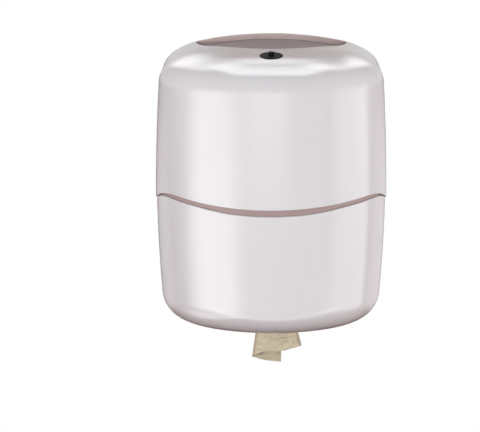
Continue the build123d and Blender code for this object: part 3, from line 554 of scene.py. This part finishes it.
def smooth_object(name, verts, faces):
    mesh = bpy.data.meshes.new(name)
    mesh.from_pydata(verts, [], faces)
    mesh.validate()
    for polygon in mesh.polygons:
        polygon.use_smooth = True
    return scene_object(name, mesh)


# Hanging paper: its path seen from above, in parts, and the points on each
BACK_COUNT = 36
SIDE_COUNT = 10
FRONT_COUNT = 56
SHORT_COUNT = 14
TURN_COUNT = 4
LONG_COUNT = 44
PART_COUNTS = (BACK_COUNT, SIDE_COUNT, FRONT_COUNT, SIDE_COUNT, SHORT_COUNT, TURN_COUNT,
               SHORT_COUNT, TURN_COUNT, LONG_COUNT, TURN_COUNT, LONG_COUNT)
PART_STARTS = tuple(sum(PART_COUNTS[:k]) for k in range(len(PART_COUNTS) + 1))
BACK_LAST = PART_STARTS[1]
FRONT_FIRST = PART_STARTS[2]
FRONT_LAST = PART_STARTS[3]

# Where the path begins, where its short pleats turn, and how far its long pleats stay inside
BACK_START_X = 11.5
SHORT_TURN_X = 14.6
PLEAT_INSET = 1.5
LAST_INSET = 3.0

# The torn edge: the height at a count of points along the path
TORN_EDGE = (
    (0.0, -196.3), (18.0, -195.0), (31.0, -192.5), (36.0, -191.3), (41.0, -190.2), (46.0, -188.2),
    (49.0, -186.0), (58.0, -182.6), (70.0, -184.2), (79.0, -182.6), (102.0, -177.7),
    (107.0, -176.9), (112.0, -178.0), (126.0, -184.0), (130.0, -183.0), (148.0, -173.0),
    (192.0, -179.0), (240.0, -172.0),
)
EDGE_POINTS, EDGE_HEIGHTS = zip(*TORN_EDGE)

# The gathered neck: angle in degrees and radius about the roll's axis where each part begins
NECK_ANGLES = (60, 165, 195, 345, 375, 405, 420, 500, 520, 700, 720, 900)
NECK_RADII = (8.5, 8.5, 8.5, 8.5, 8.5, 7.8, 6.6, 5.4, 5.2, 3.6, 3.4, 2.0)
GATHERS_PER_TURN = 18
OUTER_GATHER = 1.05
INNER_GATHER = 0.75
INNER_GATHER_FROM = 405

NECK_ROWS = 14
FLARE_ROWS = 18
LOWER_ROWS = 44


def left_fold(z):
    return LEFT_FOLD_X + LEFT_SLOPE * (z - FOLDS_Z)


def right_fold(z):
    return RIGHT_FOLD_X + RIGHT_SLOPE * (max(z, RIGHT_UPRIGHT_BELOW) - FOLDS_Z)


def straight(x0, x1, y, count):
    return [(x0 + (x1 - x0) * k / count, y) for k in range(count)]


def half_turn(x, y, radius, way, start, count):
    """A half circle about (x, y) that bulges towards way, from start's side in y to the other."""
    points = []
    for k in range(count):
        angle = math.pi * k / count
        points.append((x + way * radius * math.sin(angle), y + start * radius * math.cos(angle)))
    return points


def hanging_line(z):
    """The web's path at one height: back layer, left fold, front layer, right fold, pleats."""
    left = left_fold(z) + FOLD_RADIUS
    right = right_fold(z) - FOLD_RADIUS
    middle = (BACK_Y + FRONT_Y) / 2
    half = PLEAT_GAP / 2
    y1, y2, y3 = (BACK_Y - step * PLEAT_GAP for step in (1, 2, 3))
    line = straight(BACK_START_X, left, BACK_Y, BACK_COUNT)
    line += half_turn(left, middle, FOLD_RADIUS, -1, 1, SIDE_COUNT)
    line += [(x, y - BELLY * (1 - abs(2 * (x - left) / (right - left) - 1) ** 3))
             for x, y in straight(left, right, FRONT_Y, FRONT_COUNT)]
    line += half_turn(right, middle, FOLD_RADIUS, 1, -1, SIDE_COUNT)
    line += straight(right, SHORT_TURN_X, BACK_Y, SHORT_COUNT)
    line += half_turn(SHORT_TURN_X, BACK_Y - half, half, -1, 1, TURN_COUNT)
    line += straight(SHORT_TURN_X, right - PLEAT_INSET, y1, SHORT_COUNT)
    line += half_turn(right - PLEAT_INSET, y1 - half, half, 1, 1, TURN_COUNT)
    line += straight(right - PLEAT_INSET, left + PLEAT_INSET, y2, LONG_COUNT)
    line += half_turn(left + PLEAT_INSET, y2 - half, half, -1, 1, TURN_COUNT)
    line += straight(left + PLEAT_INSET, right - LAST_INSET, y3, LONG_COUNT)
    line.append((right - LAST_INSET, y3))
    return line


def neck_line():
    """The web's path through the nozzle, gathered in pleats."""
    points = []
    for k in range(PART_STARTS[-1] + 1):
        angle = float(np.interp(k, PART_STARTS, NECK_ANGLES))
        radius = float(np.interp(k, PART_STARTS, NECK_RADII))
        depth = OUTER_GATHER if angle < INNER_GATHER_FROM else INNER_GATHER
        radius += depth * math.sin(math.radians(angle * GATHERS_PER_TURN))
        a = math.radians(angle)
        points.append((radius * math.cos(a), ROLL_Y + radius * math.sin(a)))
    return points


def smooth(t):
    t = min(max(t, 0.0), 1.0)
    return t * t * (3 - 2 * t)


def paper_rows():
    """Rows of points from the top of the neck down to the torn edge."""
    neck = neck_line()
    edges = [float(np.interp(k, EDGE_POINTS, EDGE_HEIGHTS)) for k in range(len(neck))]
    upper = [NECK_TOP + (FLARE_TOP - NECK_TOP) * k / NECK_ROWS for k in range(NECK_ROWS)]
    upper += [FLARE_TOP + (FLARE_FOOT - FLARE_TOP) * k / FLARE_ROWS for k in range(FLARE_ROWS + 1)]
    rows = []
    for z in upper:
        share = smooth((FLARE_TOP - z) / (FLARE_TOP - FLARE_FOOT))
        rows.append([(x0 + (x1 - x0) * share, y0 + (y1 - y0) * share, z)
                     for (x0, y0), (x1, y1) in zip(neck, hanging_line(z))])
    for step in range(1, LOWER_ROWS + 1):
        heights = [FLARE_FOOT + (edge - FLARE_FOOT) * step / LOWER_ROWS for edge in edges]
        rows.append([(*hanging_line(z)[k], z) for k, z in enumerate(heights)])
    return rows


# Creases: each noise's scale across and down, and its third coordinate for the wave and fine kinds
WAVE_SCALE = (0.11, 0.07)
FINE_SCALE = (0.42, 0.19)
FRONT_SEEDS = (3.1, 17.3)
BACK_SEEDS = (9.4, 5.2)

# How far each kind pushes a layer out of its plane
FRONT_STEP = 0.55
FRONT_WAVE = 0.75
FRONT_FINE = 0.22
FRONT_OPENED = 0.9
FRONT_GATHER = 0.30
BACK_WAVE = 0.55
BACK_FINE = 0.2
BACK_GATHER = 0.4
BACK_TURNED = 0.9
INNER_FINE = 0.12

# Where they lie, the width or height over which they grow, and the points over which they fade
# out at a fold
CREASED_BELOW, CREASED_GROWTH = FLARE_FOOT + 2, 8.0
GATHER_GROWTH, GATHER_FADE = 16.0, 9.0
STEP_X, STEP_WIDTH = -6.0, 2.2
OPENED_X, OPENED_WIDTH = -12.0, 5.0
OPENED_BELOW, OPENED_GROWTH = -177.0, 7.0
TURNED_X, TURNED_WIDTH = 6.4, 2.0
FRONT_RIPPLE, FRONT_RIPPLE_START = 1.25, 0.6
BACK_RIPPLE = 1.1
CALM_POINTS = 6.0


def creased(k, x, y, z):
    """Soft creases: pushed outwards on the outer layers, hardly at all on the inner pleats."""
    front = FRONT_FIRST <= k <= FRONT_LAST
    wave_seed, fine_seed = FRONT_SEEDS if front else BACK_SEEDS
    wave = noise.noise(Vector((x * WAVE_SCALE[0], z * WAVE_SCALE[1], wave_seed)))
    fine = noise.noise(Vector((x * FINE_SCALE[0], z * FINE_SCALE[1], fine_seed)))
    below = smooth((CREASED_BELOW - z) / CREASED_GROWTH)
    gathered = smooth((FLARE_TOP - z) / GATHER_GROWTH)
    gathered *= math.exp(-max(0.0, FLARE_FOOT - z) / GATHER_FADE)
    if front:
        step = smooth((x - STEP_X) / STEP_WIDTH)
        opened = smooth((OPENED_BELOW - z) / OPENED_GROWTH)
        opened *= math.exp(-((x - OPENED_X) / OPENED_WIDTH) ** 2)
        push = -below * (FRONT_STEP * step + FRONT_WAVE * wave + FRONT_FINE * fine)
        push -= FRONT_OPENED * opened
        push -= FRONT_GATHER * gathered * math.cos(x * FRONT_RIPPLE + FRONT_RIPPLE_START)
        push *= min(1.0, (k - FRONT_FIRST) / CALM_POINTS, (FRONT_LAST - k) / CALM_POINTS)
    elif k <= BACK_LAST:
        turned = smooth((x - TURNED_X) / TURNED_WIDTH)
        push = below * (BACK_WAVE * wave + BACK_FINE * fine - BACK_TURNED * turned)
        push += BACK_GATHER * gathered * math.cos(x * BACK_RIPPLE)
        push *= min(1.0, (BACK_LAST - k) / CALM_POINTS)
    else:
        push = below * INNER_FINE * fine
    return x, y + push, z


def paper_web():
    rows = paper_rows()
    count = len(rows[0])
    verts = [tuple(MM * c for c in creased(k, *point))
             for row in rows for k, point in enumerate(row)]
    faces = []
    for r in range(len(rows) - 1):
        for a in range(r * count, (r + 1) * count - 1):
            faces.append((a, a + 1, a + count + 1, a + count))
    obj = smooth_object("paper_web", verts, faces)
    thick = obj.modifiers.new("thickness", "SOLIDIFY")
    thick.thickness = PAPER_THICKNESS * MM
    thick.offset = 0
    obj.data.materials.append(looks["beige_paper"])
    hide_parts("paper_tail")
    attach(obj, "housing")


# Paper roll, in millimetres
ROLL_RADIUS = 95.0
ROLL_BORE = 30.0
ROLL_FOOT = -114.0
ROLL_TOP = 81.0
SEAM_ANGLE = math.radians(-62)
ROLL_RINGS = 64
ROLL_ROWS = 40
ROLL_STEPS = 220
FOOT, SIDE, TOP, BORE = -1, 0, 1, 2

# How far its ends dip between the layers, and how its outer web and its bore depart from round
END_DIP = 0.45
LAYER_DIP = 0.45
SLOW_DIP = 0.35
WEB_INSET = 0.7
WEB_SWELL = 0.12
FREE_EDGE = 0.6
FREE_EDGE_ANGLE = 0.12
BORE_INSET = 0.6
BORE_SLACK = 0.6

# Noise scales, per millimetre of radius or height and about the axis, and places in the noise
LAYER_SCALE, LAYER_SPIRAL, LAYER_SEED = 0.9, 0.12, 7.7
SLOW_SCALE, SLOW_ROUND = 0.16, 0.6
SIDE_SCALE, WEB_ROUND, BORE_ROUND, BORE_SEED = 0.012, 1.4, 1.1, 4


def roll_profile():
    """Half section of the roll as (radius, height, surface): foot, side, top and bore."""
    width = ROLL_RADIUS - ROLL_BORE
    height = ROLL_TOP - ROLL_FOOT
    rings = [k / ROLL_RINGS for k in range(ROLL_RINGS + 1)]
    rows = [k / ROLL_ROWS for k in range(1, ROLL_ROWS)]
    section = [(ROLL_BORE + width * share, ROLL_FOOT, FOOT) for share in rings]
    section += [(ROLL_RADIUS, ROLL_FOOT + height * share, SIDE) for share in rows]
    section += [(ROLL_RADIUS - width * share, ROLL_TOP, TOP) for share in rings]
    section += [(ROLL_BORE, ROLL_TOP - height * share, BORE) for share in rows]
    return section


def rolled_point(radius, z, surface, angle):
    """A point of the wound roll: stepped layers on the ends, a free edge on the outer web."""
    turn = (angle - SEAM_ANGLE) % (2 * math.pi)
    c, s = math.cos(angle), math.sin(angle)
    if surface in (FOOT, TOP):
        spiral = radius * LAYER_SCALE + turn * LAYER_SPIRAL
        layer = noise.noise(Vector((spiral, 0.0, LAYER_SEED * surface)))
        slow = noise.noise(Vector((radius * SLOW_SCALE, c * SLOW_ROUND, s * SLOW_ROUND + surface)))
        return radius, z - surface * max(0.0, END_DIP + LAYER_DIP * layer + SLOW_DIP * slow)
    if surface == SIDE:
        swell = noise.noise(Vector((c * WEB_ROUND, s * WEB_ROUND, z * SIDE_SCALE)))
        edge = math.exp(-turn / FREE_EDGE_ANGLE)
        return radius - WEB_INSET + WEB_SWELL * swell + FREE_EDGE * edge, z
    slack = noise.noise(Vector((c * BORE_ROUND, s * BORE_ROUND, z * SIDE_SCALE + BORE_SEED)))
    return radius + BORE_INSET + BORE_SLACK * slack, z


def wound_roll():
    section = roll_profile()
    verts, faces = [], []
    for j in range(ROLL_STEPS):
        angle = 2 * math.pi * j / ROLL_STEPS + SEAM_ANGLE
        for point in section:
            r, z = rolled_point(*point, angle)
            verts.append((MM * r * math.cos(angle), MM * (ROLL_Y + r * math.sin(angle)), MM * z))
    count = len(section)
    for j in range(ROLL_STEPS):
        near, far = j * count, ((j + 1) % ROLL_STEPS) * count
        for k in range(count):
            after = (k + 1) % count
            faces.append((near + k, far + k, far + after, near + after))
    obj = smooth_object("wound_roll", verts, faces)
    obj.data.materials.append(looks["rolled_paper"])
    obj.data.materials.append(looks["beige_paper"])
    for polygon in obj.data.polygons:
        upright = abs(polygon.normal.z) < 0.5
        polygon.material_index = 1 if upright else 0
    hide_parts("paper_roll")
    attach(obj, "housing")


# Button spring, in millimetres: a coil about the lock's axis, flattened at both ends
LOCK_CENTRE = Vector((0.0, -176.201, 149.57))
LOCK_SLOPE = math.radians(10.989)
LOCK_AXIS = Vector((0.0, -math.sin(LOCK_SLOPE), math.cos(LOCK_SLOPE)))
SPRING_SEAT = 16.0
SPRING_HEIGHT = 6.7
SPRING_RADIUS = 4.7
WIRE_RADIUS = 0.4
SPRING_TURNS = 4.5
COIL_STEPS = 360
WIRE_SIDES = 14


def spring_centre_line():
    """Points of the wire's centre line, closed flat over the first and last half turn."""
    across = Vector((1, 0, 0))
    along = LOCK_AXIS.cross(across)
    rise = SPRING_HEIGHT - 2 * WIRE_RADIUS
    points = []
    for k in range(COIL_STEPS + 1):
        turn = SPRING_TURNS * k / COIL_STEPS
        share = min(max((turn - 0.5) / (SPRING_TURNS - 1.0), 0.0), 1.0)
        angle = 2 * math.pi * turn
        height = WIRE_RADIUS + rise * share - SPRING_SEAT
        ring = SPRING_RADIUS * (math.cos(angle) * across + math.sin(angle) * along)
        points.append(LOCK_CENTRE + ring + height * LOCK_AXIS)
    return points


def button_coil():
    path = spring_centre_line()
    form = bmesh.new()
    rings = []
    for k, point in enumerate(path):
        ahead = path[min(k + 1, len(path) - 1)] - path[max(k - 1, 0)]
        out = (LOCK_AXIS.cross(ahead)).normalized()
        up = ahead.cross(out).normalized()
        ring = []
        for side in range(WIRE_SIDES):
            angle = 2 * math.pi * side / WIRE_SIDES
            offset = WIRE_RADIUS * (math.cos(angle) * out + math.sin(angle) * up)
            ring.append(form.verts.new(MM * (point + offset)))
        rings.append(ring)
    for near, far in zip(rings, rings[1:]):
        for side in range(WIRE_SIDES):
            after = (side + 1) % WIRE_SIDES
            form.faces.new((near[side], near[after], far[after], far[side])).smooth = True
    form.faces.new(rings[0])
    form.faces.new(rings[-1])
    bmesh.ops.recalc_face_normals(form, faces=form.faces)
    mesh = bpy.data.meshes.new("button_coil")
    form.to_mesh(mesh)
    form.free()
    obj = scene_object("button_coil", mesh)
    mesh.materials.append(looks["zinc_steel"])
    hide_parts("button_spring")
    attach(obj, "cover")
    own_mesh(obj)


paper_web()
wound_roll()
button_coil()
